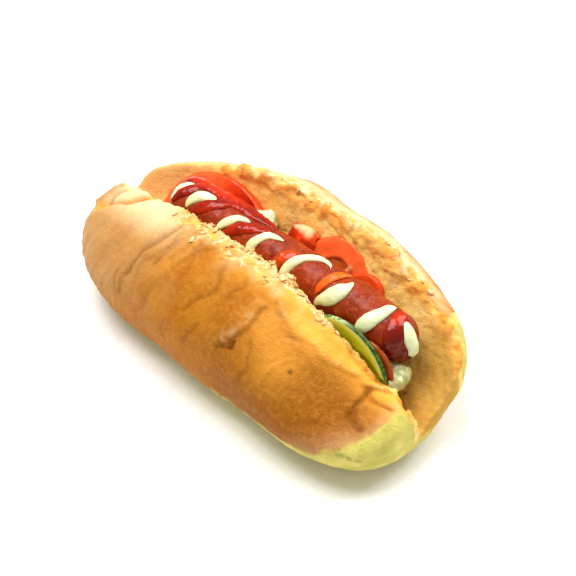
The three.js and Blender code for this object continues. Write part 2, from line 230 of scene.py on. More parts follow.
# %% [markdown]
# ## The camera
# A product photograph like this one is taken from fairly high and from some way off, with a long lens, so that
# the far end isn't much smaller than the near one. The camera looks down at 42 degrees, past the bun's corner.

# %% Camera
AIM = Vector((4.38, 5.66, 27.46)) * MM
TURN, TILT, AWAY = math.radians(44), math.radians(42), 650 * MM
back = Vector((math.sin(TURN) * math.cos(TILT), -math.cos(TURN) * math.cos(TILT), math.sin(TILT)))
bpy.ops.object.camera_add(location=AIM + AWAY * back, rotation=back.to_track_quat("Z", "Y").to_euler())
camera = bpy.context.object
camera.data.lens = 100
camera.data.clip_start = 0.01
bpy.context.scene.camera = camera
print("camera at", [round(c / MM) for c in camera.location], "mm")

# %% [markdown]
# ## The bun's form
# The solid bun is made of flat facets. A voxel remesh lays an even net of small squares over it, and smoothing
# takes the facets away. That gives an even skin to press folds, flakes and pores into, point by point, as a
# sculptor would. A subdivision surface would keep the long thin triangles of the solid and show them.

# %% The bun's even skin
bun = copy_of("bun", "bread_bun")
skin = even_net(bun, 0.9, 16)
x, y, z = skin.T
print(f"bun skin: {len(skin)} points")

# %% [markdown]
# Everything on the bun depends on where the two lips are, the torn edges along the slit. For each place along
# the bun they are the highest points of its front and of its back half. Between them lies the crumb, down to the
# slit's floor, which rises towards both ends.

# %% Find the lips
HALF_LENGTH, SLIT_Y, SUNK, NEAR = 90, 0.53, 1.2, 1.6


def half_fullness(along, power):
    """How wide an oval is at a place along it, from 1 in its middle to 0 at its end."""
    return (1 - np.clip(np.abs(along), 0, 1) ** power) ** (1 / power)


share = x / HALF_LENGTH
middle = -3.5 * share - 6 * share ** 2 + SLIT_Y
stations = np.arange(-86, 87, 2.0)


def lip_line(side):
    """The lip of one side, -1 for the front and 1 for the back: its y and z beside every point of the skin."""
    found = []
    for station in stations:
        near = np.flatnonzero((np.abs(x - station) < NEAR) & (side * (y - middle) > 0))
        found.append(skin[near[np.argmax(z[near])]])
    found = np.array(found)
    kernel = np.array([1, 2, 3, 2, 1]) / 9
    rows = [np.convolve(np.pad(found[:, i], 2, mode="edge"), kernel, mode="valid") for i in (1, 2)]
    return [np.interp(x, stations, row) for row in rows]


front_y, front_z = lip_line(-1)
back_y, back_z = lip_line(1)
waist = 18 + 8 * half_fullness(share, 2.9)
floor_z = waist * (1 - half_fullness(share, 3.9)) + 5 * half_fullness(share, 3.4) ** 0.6 - SUNK
into_slit = np.minimum(y - front_y, back_y - y)
above = z - floor_z
front_half = y < middle
lip_height = z - np.where(front_half, front_z, back_z)
print(f"lips up to {front_z.max():.0f} mm in front and {back_z.max():.0f} mm behind")

# %% [markdown]
# ### Lines on the crust
# The crust is a thin baked skin. Where the bun is bent open it folds, and along the slit it has torn and lifted
# like old paint. Each fold and each lifted edge is a line on the crust, drawn in flat coordinates: the place
# along the bun, and the way round its side, both in millimetres.

# %% How far a point is from a line
def line_distance(flat, line):
    """For each point: how far the line is, on which side it lies, and how far along the line, from 0 to 1."""
    line = np.array(line, float)
    lengths = np.hypot(*np.diff(line, axis=0).T)
    starts = np.concatenate([[0], np.cumsum(lengths)])
    best = np.full(len(flat), 1e9)
    side = np.zeros(len(flat))
    along = np.zeros(len(flat))
    for a, b, start, length in zip(line, line[1:], starts, lengths):
        way = b - a
        t = np.clip(((flat - a) @ way) / (way @ way), 0, 1)
        off = flat - a - t[:, None] * way
        far = np.hypot(off[:, 0], off[:, 1])
        near = far < best
        best[near] = far[near]
        side[near] = np.sign(way[0] * off[:, 1] - way[1] * off[:, 0])[near]
        along[near] = ((start + t * length) / starts[-1])[near]
    return best, side, along


def stripe(line, width):
    """A soft stripe of that half width along a line on the crust."""
    return hill(line_distance(flat, line)[0], width)


# The crust curves round a line inside the bun, at this height and about this far below the skin
CORE_Z, ROUND = 18, 38
flat = np.stack([x, ROUND * np.arctan2(z - CORE_Z, -y)], axis=1)
back_round = ROUND * np.arctan2(z - CORE_Z, y)
# Noise that bends every line a little, so that none is drawn too straight
wander = np.stack([0.9 * lumps(skin, 7, 1) + 0.4 * lumps(skin, 3.6, 3),
                   0.9 * lumps(skin, 7, 2) + 0.4 * lumps(skin, 3.6, 4)], axis=1)

# %% Folds and ridges: points of the line, width, and depth, which is negative for a ridge
GROOVE = [(-56, 49), (-64.5, 40), (-72, 33.5), (-80, 28)]
FOLDS = [
    ([(-30, 47), (-31, 39.5), (-34, 34.5), (-36, 29.5), (-38.5, 25.5), (-39.5, 21), (-39, 14)], 1.2, 1.0),
    ([(-27.5, 42), (-28, 33.5), (-27.5, 30), (-29, 24)], 1.0, 0.6),
    ([(-44.5, 18.5), (-44, 13.5), (-43, 7)], 1.0, 0.45),
    ([(-39.5, 18), (-40, 13.5), (-41, 8)], 1.0, 0.45),
    ([(-47.5, 40), (-53.5, 29), (-55, 21), (-56.5, 12)], 3.6, 0.5),
    ([(-62, 36), (-66, 28), (-68, 20)], 3, 0.3),
    ([(-34, 42), (-38, 34), (-43, 26), (-46, 18)], 2.2, -0.4),
    ([(-22, 44), (-26, 35), (-33, 24), (-36, 15)], 1.4, 0.6),
    ([(-1, 41), (-0.5, 34.5), (3.5, 30), (0.5, 26), (-6, 19)], 0.9, 0.5),
    ([(5.5, 19), (1, 13), (-2, 8)], 0.9, 0.45),
    ([(-12, 13.5), (-13, 5)], 0.9, 0.45),
    ([(40, 29), (43.5, 23), (41, 15.5), (38.5, 11), (33, 3)], 0.8, -0.4),
    ([(43, 30.5), (37.5, 28.5)], 0.8, 0.4),
    ([(28, 24), (33, 17), (31, 9)], 0.8, 0.4),
    ([(69.5, 28), (70, 23), (71, 16), (71.5, 12), (75, 10), (80.5, 9.5)], 1.1, 1.7),
    ([(69.5, 24), (72.5, 21), (75.5, 21.5), (80, 22.5), (83, 21)], 0.9, 1.2),
    ([(23, 21.5), (23.5, 19), (22, 17)], 1.0, 1.6),
    ([(21, 18.5), (16, 14.5)], 0.8, 0.9),
    ([(8, 44), (12, 36), (10, 28)], 0.9, 0.4),
    ([(-18, 26), (-24, 18), (-26, 8)], 1.6, 0.5),
    ([(-17, 40), (-13, 31), (-12, 22)], 1.3, 0.5),
    (GROOVE, 1.8, 1.6),
    ([(-75, 31), (-76, 38), (-74, 46)], 1.2, 1.0),
    ([(-83, 27), (-81, 35), (-78.5, 45)], 2.0, -1.8),
]
print(len(FOLDS), "folds and ridges")

# %% Lifted edges: points of the line with the lifted skin on its left, height, and reach
EDGES = [
    ([(16, 19), (19.5, 20), (22, 23.5), (23.5, 25.5), (24, 29.5), (24, 32.5), (24.5, 36)], 1.0, 8),
    ([(24.5, 41), (30.5, 36.5), (37, 33.5), (42, 32), (48, 32.5), (54.5, 29.5), (62, 29.5), (67, 30)], 0.6, 4.5),
    ([(66, 25.5), (68.5, 27.5), (71.5, 29.5), (74.5, 31.5), (76, 35)], 1.3, 3),
    ([(-21, 28), (-18, 33), (-16.5, 36.5), (-14.5, 39.5), (-8, 43)], 0.6, 6),
    ([(-52, 48), (-57, 44.5), (-64, 37), (-73.5, 29.5), (-81, 25)], 1.2, 9),
    ([(50, -2.5), (66.5, -1.5), (74.5, 2.5), (79.5, 6), (83, 10.5), (84.5, 18), (84.5, 31)], 0.45, 4),
]

# %% [markdown]
# A fold is a soft trench along its line. A lifted edge is a step: it rises slowly on the lifted side, and drops
# within a millimetre on the other. The same distances say where painted shade darkens a fold and the foot of a
# step, and where a painted highlight lightens a lifted rim.

# %% Relief of the front crust
def fading(along):
    """1 along a line and 0 at both its ends, so that it runs out softly."""
    return ease(0, 0.12, along) * ease(1, 0.88, along)


# Painted shade: darker in each fold and at the foot of each lifted edge
folded = np.zeros(len(skin))
relief = np.zeros(len(skin))
# A painted highlight along each lifted rim, laid on as cream
rim_highlight = np.zeros(len(skin))
front_crust = ease(0.5, -0.5, into_slit) * front_half
for line, width, depth in FOLDS:
    distance, _, along = line_distance(flat + wander, line)
    trench = hill(distance, width) * fading(along) * front_crust
    relief -= depth * trench
    folded = np.maximum(folded, trench * min(1, 1.3 * depth / width))
for line, height, reach in EDGES:
    distance, side, along = line_distance(flat + 0.5 * wander, line)
    ends = fading(along) * front_crust
    relief += height * ends * np.where(side > 0, hill(distance, reach), hill(distance, 1.4))
    rim_highlight = np.maximum(rim_highlight, hill(distance, np.where(side > 0, 2.2, 0.9)) * ends * height)
    # Painted shadow below each lifted edge
    folded = np.maximum(folded, np.where(side < 0, hill(distance - 1.6, 0.8), 0) * ends * height * 0.7)
print(f"relief of the front crust: {relief.min():.1f} to {relief.max():.1f} mm")

# %% [markdown]
# ### Crumb and torn lips
# Inside the slit the bread was pulled apart, so it is all pores and shreds. Noise pulls the wall in and out,
# and rounded cells press pores into it. Near the lips the same noise is stronger, which makes the edge ragged.
# At the far end the slit stops short: there the baked skin still runs over both halves.

# %% Which part of the bun is whole skin, crumb, lip, torn or frayed
ragged = lumps(skin, 5, 5) + 0.6 * lumps(skin, 2.4, 6)
near_lip = ease(-22, -12, lip_height)
whole_skin = np.where(front_half, ease(-30, -42, x + 3 * ragged), ease(-48, -58, x + 3 * ragged))
crumb = ease(-0.6, 0.7, into_slit + 0.9 * ragged * (1 - whole_skin)) * ease(-1, 2, above)
crumb *= 1 - whole_skin * ease(-20, -12, lip_height)
lip = hill(into_slit - 0.6, 2.2) * ease(-7, -3, lip_height) * (1 - whole_skin)
torn_back = ease(-6.5, -3.5, into_slit + 2.0 * ragged) * ease(2, 0, into_slit) * ~front_half * (1 - whole_skin)
torn_back *= ease(20, 30, z) * ease(70, 60, x)
frayed = ease(-10, -4, into_slit + 2.5 * ragged) * ease(1.5, 0, into_slit) * front_half * (1 - whole_skin)
frayed *= ease(34, 10, x) * ease(-52, -42, x) * near_lip
print(f"crumb covers {100 * np.mean(crumb > 0.5):.0f} % of the skin's points")

# %% [markdown]
# Each of these parts has a relief of its own. The crumb has shallow waves and holes. The crust has low bumps, and
# towards the far end wrinkles that run down its side. The lips stand out in a few tips and lie back between them.
# All of it is added up, and the points are moved once, straight out of the skin or into it. The sole stays flat.

# %% Relief of each part, and all of it onto the bun
TIPS, TIP_WIDTH, PEAK_X = (-31, -15, 3, 14, 23, 41, 76), 1.8, -39
holes = ease(0.4, 0.1, pores(skin, 2.6, 1))
crumb_relief = 0.4 * lumps(skin, 6.5, 7) + 0.2 * lumps(skin, 2.6, 8) - 0.4 * holes
crust_relief = 0.35 * lumps(skin, 22, 9) + 0.16 * lumps(skin, 6, 10) + 0.1 * lumps(skin, 2.6, 11)
down_the_side = np.stack([flat[:, 0] - 0.35 * flat[:, 1], 0.25 * flat[:, 1], 0 * x], axis=1)
crust_relief += 0.32 * lumps(down_the_side, 2.6, 31) * ease(20, -30, x) * front_half
peak = hill(x - PEAK_X, 3) * hill(into_slit - 0.5, 2) * ease(-6, -2, lip_height) * ~front_half
shreds = 0.6 * lumps(skin, 4.5, 16) + 0.5 * np.abs(lumps(skin, 2.5, 17))
tips = sum(hill(x - at, TIP_WIDTH) for at in TIPS)
lip_relief = 1.5 * ragged + 0.5 * np.abs(lumps(skin, 2.1, 18)) + 1.4 * tips - 1.6 * front_half
flaps = 1.1 * np.abs(lumps(skin, 5.5, 25)) + 0.5 * np.abs(lumps(skin, 2.6, 26)) - 0.4
relief += crumb * crumb_relief + (1 - crumb) * crust_relief + lip * lip_relief + torn_back * shreds
relief += frayed * flaps + 2.4 * peak
relief *= ease(0.3, 4, z)
move_points(bun, skin + normals_of(bun) * relief[:, None])
print(f"relief of the whole bun: {relief.min():.1f} to {relief.max():.1f} mm")

# %% [markdown]
# ### Where the bun has which colour
# Colour follows the same map. The crust is deepest brown low on the front and towards the near end, where it is
# partly painted shade, cream on top at the far end, where it is partly a painted highlight, and orange beside the
# slit. The oven left the near end and the underside pale. Low in the slit and at its near end the crumb gets
# painted shade. These areas are kept on the mesh as numbers from 0 to 1, and the material below lays its coats
# through them.

# %% Baked and pale areas: the edges of the brown crust go from the far end to the near one
FRONT_EDGE = [(-95, -13), (-40, -11), (0, -7), (30, -4), (55, -2.5), (66.5, -1.5), (74.5, 2.5), (79.5, 6),
              (83, 10.5), (84.5, 18), (95, 60)]
BACK_EDGE = [(-95, -6), (-70, -8), (0, -8), (40, -4), (58, 4), (68, 18), (74, 36), (80, 70)]
BAKED_UP_TO = 84.5
FINGER = [(-84, 25), (-81, 35), (-78.5, 46)]
MARK = [(76, 3.4), (80.4, 2.4), (84, 1.0)]
round_side = flat[:, 1]
crust_above = round_side - np.interp(x, *zip(*FRONT_EDGE))
back_above = back_round - np.interp(x, *zip(*BACK_EDGE))
baked = np.where(front_half, np.minimum(crust_above, (BAKED_UP_TO - x) * 1.3), back_above)
pale = ease(2.2, -1.6, baked + 1.4 * lumps(skin, 5, 12) + 0.6 * lumps(skin, 1.8, 13))
tan = ease(-5, -70, x + 10 * lumps(skin, 12, 19)) * front_half * ease(-5, 12, round_side)
finger = stripe(FINGER, 2.6) * front_half
tan = np.maximum(tan, finger)
# Deeper brown low on the front and towards the near end, partly painted shade
deep = ease(-20, 40, x + 8 * lumps(skin, 14, 27)) * ease(46, 30, round_side) * front_half * (1 - crumb)
# Painted shade on the crumb, low in the slit and at its near end
shade = crumb * np.maximum(ease(-12, -27, lip_height), 0.9 * ease(58, 76, x) * ease(4, 8, into_slit + 3))
mark = stripe(MARK, 0.9) * ease(-0.4, 0.3, lumps(skin, 2, 24))
print(f"{100 * np.mean(pale > 0.5):.0f} % of the skin's points are pale")

# %% [markdown]
# Orange is the thin skin that toasts first: beside the slit, on lifted skin, in the groove and on the dome at the
# far end, and on one small island left on the lip. Below the lifted skin a weaker orange stripe is a painted
# highlight where the light falls. Where several of these meet, the strongest one counts.

# %% Orange areas
LIFTED = [(38, 37), (48, 34), (70, 32)]
LIT = [(30, 30), (42, 22)]
ISLAND = (14.6, 42.4)
outward = np.clip(-into_slit, 0, None)
patch = lumps(skin, 7, 15)
orange = hill(outward, 9) * (1 - crumb) * ease(-16, 24, x + 14 * lumps(skin, 14, 14)) * front_half * near_lip
orange = np.maximum(orange, stripe(LIFTED, 6) * (1 - pale) * front_half * (1 - crumb))
orange = np.maximum(orange, 0.85 * stripe(GROOVE, 2.4) * front_half)
# A painted highlight: a weaker orange stripe below the lifted skin, where the light falls
orange = np.maximum(orange, 0.45 * stripe(LIT, 9) * front_half * (1 - pale))
island = hill(np.hypot(*(flat - ISLAND).T), 3.4) * front_half * (1 - crumb)
orange = np.maximum(orange, island)
dome_top = whole_skin * ~front_half * ease(-15, -4, into_slit + 2 * patch)
orange = np.maximum(orange, 0.8 * dome_top)
orange *= 1 - torn_back

# %% [markdown]
# Cream is skin that hardly browned, in patches beside the lip; on top of the far end and on the upper back it is
# pale skin with a painted highlight on it, and on rims that were lifted it is a painted highlight. Toast and scorch
# are the browned edges of the lips, and the porous part is the broken crumb on the front one.

# %% Cream, toasted and porous areas
# On top of the far end the cream is pale skin with a painted highlight
cream = ease(26, 42, round_side) * ease(-16, -46, x) * front_half * (1 - orange)
cream = np.maximum(cream, 0.9 * hill(outward, 8) * (1 - crumb) * ease(0.0, 0.4, -patch) * near_lip
                   * front_half * ease(-40, -20, x) * ease(60, 30, x) * (1 - 0.8 * orange))
# On lifted rims the cream is a painted highlight
cream = np.maximum(cream, rim_highlight * 0.25 * ease(-0.5, 0.6, lumps(skin, 3, 29)))
cream = np.maximum(cream, 0.22 * hill(baked - 1.5, 5) * ease(50, 66, x) * front_half)
outer_back = ~front_half * (1 - crumb) * (1 - orange) * (1 - torn_back)
# On the upper back the cream is pale skin with a painted highlight
cream = np.maximum(cream, ease(18, 36, back_round + 3 * patch) * outer_back)
cream = np.maximum(cream * (1 - finger), 0.4 * dome_top)
toast = lip * ease(-0.3, 0.4, patch + 0.5 * ragged) * np.where(front_half, ease(20, 45, x), 0.8)
scorch = hill(into_slit + 0.5, 3.0 + 1.5 * ragged) * ~front_half * ease(8, 36, x) * ease(80, 72, x)
toast = np.maximum(toast, scorch * ease(-0.4, 0.3, lumps(skin, 5, 28)))
porous = ease(-2.4, -1.2, into_slit + 1.2 * ragged) * ease(2.5, 1.2, into_slit) * ease(-5, -2, lip_height)
porous *= front_half * ease(58, 40, x) * ease(-30, 6, x) * (1 - whole_skin) * (1 - island)

# %% Stains and specks, and all areas onto the mesh
SPECKS, SPECK_R = ((67.7, 23, 45.4), (-55.8, 14.4, 29), (72, 0.7, 18.3), (47.5, -38, 40.6)), 0.9
JUICE_X, JUICE_REACH = -22, 26
stain = crumb * ease(-7, -2, lip_height + 3 * patch)
juice = crumb * hill(x - JUICE_X, JUICE_REACH) * ~front_half
# Dark specks; those in the crumb are painted shade that stands for deep holes
speck = sum(hill(np.linalg.norm(skin - spot, axis=1), SPECK_R) for spot in SPECKS)
paint(bun, crumb=crumb, pale=pale * (1 - crumb), orange=orange * (1 - pale), cream=cream * (1 - pale), tan=tan,
      toast=toast, folded=folded, porous=porous, torn=torn_back, stain=stain, juice=juice, deep=deep,
      frayed=frayed * (1 - island), shade=shade, mark=mark, speck=speck)

# %% [markdown]
# ## Bread as a material
# Baked wheat dough is matt, with a thin skin of browned starch and sugar: tan with finer, darker grain, and fine
# wrinkles. Real ones are too fine to show at this distance, so they are drawn larger and deeper here. The crumb is
# softer and yellow, with small darker spots that are painted shade for its pores. It is one material, mixed by the
# painted areas, so no seam shows between crust and crumb. The IOR keeps its default of 1.5, close to that of dry
# bread, but a dull dry surface hardly reflects, so the specular level is low.

# %% Bread: colours of crust and crumb
bread, tree, shader, place = new_material("baked_wheat_bread", Specular_IOR_Level=0.1, Subsurface_Weight=0.05,
                                          Subsurface_Radius=(1.0, 0.6, 0.3), Subsurface_Scale=1.5 * MM)
bread_colour = coats(tree, place, "#ae6408", [
    dict(colour="#bf7a16", grain=16, span=(0.35, 0.65)),
    # Darker brown, partly painted shade
    dict(colour="#8c4e08", area="deep", most=0.75),
    dict(colour="#c0915a", area="tan", most=0.9),
    dict(colour="#c88c34", grain=2.2, span=(0.45, 0.75), most=0.4),
    dict(colour="#8e4c0a", grain=0.7, span=(0.5, 0.8), most=0.4),
    dict(colour="#fbac3e", area="orange"),
    # Cream: pale skin, and painted highlights on the far top, the upper back and lifted rims
    dict(colour="#f0cd98", area="cream"),
    # Painted shade in the folds and under the lifted edges
    dict(colour="#6e3a08", area="folded", most=0.5),
    dict(colour="#dccb6c", area="pale"),
    dict(colour="#bdb354", grain=9, span=(0.35, 0.65), area="pale"),
    dict(colour="#77782c", area="mark", most=0.7),
    dict(colour="#f0c25c", area="crumb"),
    dict(colour="#f8d880", grain=5, span=(0.35, 0.65), area="crumb"),
    dict(colour="#fbecc0", grain=1.1, span=(0.55, 0.75), area="crumb", most=0.5),
    # Small darker spots in the crumb: painted shade for its pores
    dict(colour="#cf9434", grain=1.3, span=(0.44, 0.3), area="crumb", most=0.4),
    # Painted shade on the crumb
    dict(colour="#b27a20", area="shade", most=0.8),
    dict(colour="#f29a38", area="stain", most=0.35),
    dict(colour="#e8742a", area="juice", most=0.35),
    dict(colour="#e9b25e", area="torn"),
    dict(colour="#ec9236", grain=6, span=(0.5, 0.66), area="torn", most=0.6),
    dict(colour="#f8e0b6", grain=4, span=(0.45, 0.65), area="torn", most=0.8),
    dict(colour="#e5801e", area="toast", most=0.85),
    dict(colour="#d79e54", area="frayed", most=0.8),
    dict(colour="#f7ae4c", grain=5, span=(0.48, 0.58), area="frayed"),
    dict(colour="#f8deb0", grain=3.5, span=(0.52, 0.62), area="frayed", most=0.7),
    dict(colour="#dfa860", area="porous"),
    dict(colour="#f6daa6", grain=1.2, span=(0.44, 0.56), area="porous"),
    # Dark specks, in the crumb painted shade for deep holes
    dict(colour="#3a2208", area="speck", most=0.8),
])

# %% Bread: roughness, and wrinkles of two sizes: size and depth in millimetres, and strength
CRUST_ROUGH, CRUMB_ROUGH = 0.52, 0.85
WRINKLES = ((0.9, 0.5, 0.7), (2.6, 1.0, 0.45))
tree.links.new(bread_colour, shader.inputs["Base Color"])
in_crumb = add(tree, "ShaderNodeAttribute", attribute_name="crumb").outputs["Fac"]
dull = add(tree, "ShaderNodeMapRange", {0: in_crumb, 3: CRUST_ROUGH, 4: CRUMB_ROUGH})
tree.links.new(dull.outputs[0], shader.inputs["Roughness"])
normal = {}
for size, depth, strength in WRINKLES:
    wrinkles = add(tree, "ShaderNodeTexNoise", {"Vector": place, "Scale": 1 / (size * MM), "Detail": 4.0})
    bump = add(tree, "ShaderNodeBump", {"Height": wrinkles.outputs["Fac"], "Distance": depth * MM,
                                        "Strength": strength, **normal})
    normal = {"Normal": bump.outputs["Normal"]}
tree.links.new(bump.outputs["Normal"], shader.inputs["Normal"])
finish_piece(bun, bread, "crust", "bun")

# %% [markdown]
# ## Crumbs and flakes on the torn lips
# Where bread tears, small crumbs and shards of crust still hang on. One crumb is an icosphere pushed out of
# round, and one flake a thin curved disc with a broken outline. Copies of each, turned and sized by chance, are
# set on points of the lips. A particle system would need its own baking, and this way they are plain mesh.

# %% Set copies on a surface
chances = np.random.default_rng(11)


def scatter(name, shape, faces, spots, ups, sizes, tilt):
    """Copies of a shape at the spots, each upright on its spot but for a tilt by chance."""
    corners, polygons, tones = [], [], []
    for spot, up, size in zip(spots, ups, sizes):
        up = up + tilt * chances.normal(size=3)
        up /= np.linalg.norm(up)
        side = np.cross(up, chances.normal(size=3))
        side /= np.linalg.norm(side)
        turn = np.stack([side, np.cross(up, side), up])
        polygons += [[corner + len(shape) * len(corners) for corner in face] for face in faces]
        corners.append(spot + size * shape @ turn)
        tones.append(np.full(len(shape), chances.uniform()))
    piece = bpy.data.objects.new(name, bpy.data.meshes.new(name))
    piece.data.from_pydata(np.concatenate(corners) * MM, [], polygons)
    bpy.context.scene.collection.objects.link(piece)
    select_only(piece)
    bpy.ops.object.mode_set(mode="EDIT")
    bpy.ops.mesh.select_all(action="SELECT")
    bpy.ops.mesh.normals_make_consistent(inside=False)
    bpy.ops.object.mode_set(mode="OBJECT")
    paint(piece, tone=np.concatenate(tones))
    return piece


def take_shape(piece):
    """The corners and faces of a piece, which is then removed."""
    faces = [list(face.vertices) for face in piece.data.polygons]
    shape = points_of(piece)
    bpy.data.objects.remove(piece)
    return shape, faces


# %% One crumb, and many of them
CRUMBS, CRUMB_SIZES, CRUMB_TILT = 170, (0.2, 0.6), 1.5
bpy.ops.object.select_all(action="DESELECT")
bpy.ops.mesh.primitive_ico_sphere_add(subdivisions=1, radius=MM)
crumb_shape, crumb_faces = take_shape(bpy.context.object)
crumb_shape *= (1 + 0.4 * lumps(crumb_shape, 0.9, 40)[:, None]) * (1, 0.8, 0.6)
bun_points, bun_normals = points_of(bun), normals_of(bun)
chance_of_crumb = (porous + 0.12 * torn_back + 0.12 * frayed) * (x < 84)
on_lips = chances.choice(len(skin), CRUMBS, replace=False, p=chance_of_crumb / chance_of_crumb.sum())
crumbs = scatter("crumbs_on_the_lips", crumb_shape, crumb_faces, bun_points[on_lips], bun_normals[on_lips],
                 chances.uniform(*CRUMB_SIZES, CRUMBS), CRUMB_TILT)
print("faces in a crumb:", len(crumb_faces))

# %% One flake, and some of them
FLAKES, FLAKE_SIZES, FLAKE_TILT, FLAKE_THICK = 70, (0.8, 1.8), 0.3, 0.22
bpy.ops.object.select_all(action="DESELECT")
bpy.ops.mesh.primitive_circle_add(vertices=9, radius=MM, fill_type="TRIFAN")
flake = bpy.context.object
bpy.ops.object.mode_set(mode="EDIT")
bpy.ops.mesh.select_all(action="SELECT")
bpy.ops.mesh.extrude_region_move(TRANSFORM_OT_translate={"value": (0, 0, FLAKE_THICK * MM)})
bpy.ops.object.mode_set(mode="OBJECT")
flake_shape, flake_faces = take_shape(flake)
flake_faces.sort()  # the extrusion lists its side faces in another order each run
broken = 1 + 0.45 * lumps(flake_shape * (1, 1, 0), 0.8, 41)
flake_shape[:, :2] *= broken[:, None] * (1, 0.6)
flake_shape[:, 2] += 0.28 * flake_shape[:, 0] ** 2 - 0.05
chance_of_flake = (porous + 0.3 * torn_back + 0.5 * frayed) * ease(-45, -30, x) * (x < 80)
on_edge = chances.choice(len(skin), FLAKES, replace=False, p=chance_of_flake / chance_of_flake.sum())
flakes = scatter("crust_flakes_on_the_lips", flake_shape, flake_faces, bun_points[on_edge], bun_normals[on_edge],
                 chances.uniform(*FLAKE_SIZES, FLAKES), FLAKE_TILT)
print("faces in a flake:", len(flake_faces))

# %% [markdown]
# A crumb is the dried inside of the bread: matt, pale, a little browner where it was toasted. Its colour is even
# over one crumb but differs from crumb to crumb.

# %% Crumbs as a material
torn_bread, tree, shader, place = new_material("dried_bread_crumb", Roughness=0.85, Specular_IOR_Level=0.2)
colour = coats(tree, place, "#dca052", [
    dict(colour="#f2cf98", area="tone"),
    dict(colour="#c48434", grain=0.8, span=(0.55, 0.75), most=0.3),
])
tree.links.new(colour, shader.inputs["Base Color"])
finish_piece(crumbs, torn_bread, "crust")
finish_piece(flakes, torn_bread, "crust")

# %% [markdown]
# ## The sausage
# A scalded sausage in a thin casing: a long cylinder whose ends round off. A ball is added lying down, pulled
# apart at its middle, and an even net lets noise wrinkle the casing. Its near end hangs down a little. A
# cylinder with bevelled ends would show where the round ends begin.

# %% Sausage
AXIS_Y, AXIS_Z, SAUSAGE_R, SAUSAGE_HALF, SAUSAGE_X = 4.53, 42.3, 9.7, 65.5, 6.3
DOME = SAUSAGE_HALF - SAUSAGE_R
SAG, SAG_FROM, SAG_TO = 3.6, 40, 80


def hang(points):
    """Lets the near end of the sausage and what lies on it hang down."""
    lower = points.copy()
    lower[:, 2] -= SAG * ease(SAG_FROM, SAG_TO, points[:, 0])
    return lower


bpy.ops.object.select_all(action="DESELECT")
bpy.ops.mesh.primitive_uv_sphere_add(segments=96, ring_count=64, radius=SAUSAGE_R * MM,
                                     location=(SAUSAGE_X * MM, AXIS_Y * MM, AXIS_Z * MM),
                                     rotation=(0, math.radians(90), 0))
sausage = bpy.context.object
sausage.name = "sausage"
bpy.ops.object.transform_apply(location=True, rotation=True, scale=True)
ball = points_of(sausage)
ball[:, 0] += DOME * np.sign(np.round(ball[:, 0] - SAUSAGE_X, 3))
move_points(sausage, ball)
casing = even_net(sausage, 0.5, 6)
wrinkles = lumps(casing * (1, 0.35, 0.35), 3.2, 20)
height = 0.25 * lumps(casing, 16, 21) + 0.18 * lumps(casing, 3, 22) + 0.1 * wrinkles
ends = ease(50, 60, np.abs(casing[:, 0] - SAUSAGE_X))
height -= 0.4 * ends * np.clip(lumps(casing * (0.4, 1, 1), 3.5, 23), 0, 1)
move_points(sausage, hang(casing + normals_of(sausage) * (height - 0.15)[:, None]))
print(f"sausage: {2 * SAUSAGE_HALF:.0f} mm long, {2 * SAUSAGE_R:.1f} mm thick")

# %% [markdown]
# Smoked and scalded meat is a red brown, with paler grains of fat and darker ones of spice under the casing. The
# casing is a smooth wet film, which the shader's coat stands for, over a slightly rough meat.

# %% Sausage material
casing_look, tree, shader, place = new_material(
    "scalded_sausage_casing", Roughness=0.45, Specular_IOR_Level=0.15, Coat_Weight=0.22, Coat_Roughness=0.2,
    Coat_IOR=1.33, Subsurface_Weight=0.05, Subsurface_Scale=1.5 * MM)
colour = coats(tree, place, "#7c2006", [
    dict(colour="#9c360c", grain=7, span=(0.35, 0.65)),
    dict(colour="#c85a28", grain=1.3, span=(0.54, 0.72), most=0.6),
    dict(colour="#481004", grain=0.9, span=(0.42, 0.3), most=0.6),
])
tree.links.new(colour, shader.inputs["Base Color"])
meat_grain = add(tree, "ShaderNodeTexNoise", {"Vector": place, "Scale": 1 / MM, "Detail": 4.0})
bumps = add(tree, "ShaderNodeBump", {"Height": meat_grain.outputs["Fac"], "Distance": 0.3 * MM, "Strength": 0.5})
tree.links.new(bumps.outputs["Normal"], shader.inputs["Normal"])
finish_piece(sausage, casing_look, "sausage_skin", "sausage_with_sauces")

# %% [markdown]
# ## Strokes of sauce
# A stroke squeezed over a sausage is a rounded ribbon that hugs it. It is drawn as a curve on the casing with a
# round bevel whose radius changes along the way, then pressed flat towards the casing. Crossing strokes of one
# sauce are melted together by a voxel remesh and smoothed, because real sauce has no seams.

# %% Places on the casing
def smooth_line(points, count):
    """A Catmull-Rom curve through the points, as rows of numbers."""
    p = np.array(points, float)
    p = np.vstack([2 * p[0] - p[1], p, 2 * p[-1] - p[-2]])
    rows = []
    for s in np.linspace(0, len(points) - 1, count):
        i = min(int(s), len(points) - 2)
        t = s - i
        a, b, c, d = p[i:i + 4]
        rows.append(0.5 * (2 * b + (c - a) * t + (2 * a - 5 * b + 4 * c - d) * t * t
                           + (3 * b - a - 3 * c + d) * t ** 3))
    return np.array(rows)


def on_casing(places, angles):
    """Points on the casing by the way along it, also over its round ends, and the angle round it in degrees."""
    off = places - SAUSAGE_X
    over_end = np.clip(np.abs(off) - DOME, 0, 1.5 * SAUSAGE_R) / SAUSAGE_R
    belt = SAUSAGE_R * np.cos(over_end)
    turn = np.radians(angles)
    along = SAUSAGE_X + np.sign(off) * (np.minimum(np.abs(off), DOME) + SAUSAGE_R * np.sin(over_end))
    return np.stack([along, AXIS_Y + belt * np.cos(turn), AXIS_Z + belt * np.sin(turn)], axis=1)


def above_casing(points):
    """The foot on the axis, the way out from it, and the distance."""
    foot = np.stack([np.clip(points[:, 0], SAUSAGE_X - DOME, SAUSAGE_X + DOME),
                     np.full(len(points), AXIS_Y), np.full(len(points), AXIS_Z)], axis=1)
    away = points - foot
    far = np.linalg.norm(away, axis=1)
    return foot, away / far[:, None], far


# %% One sauce from its strokes
THINNEST, STEPS = 0.3, 40


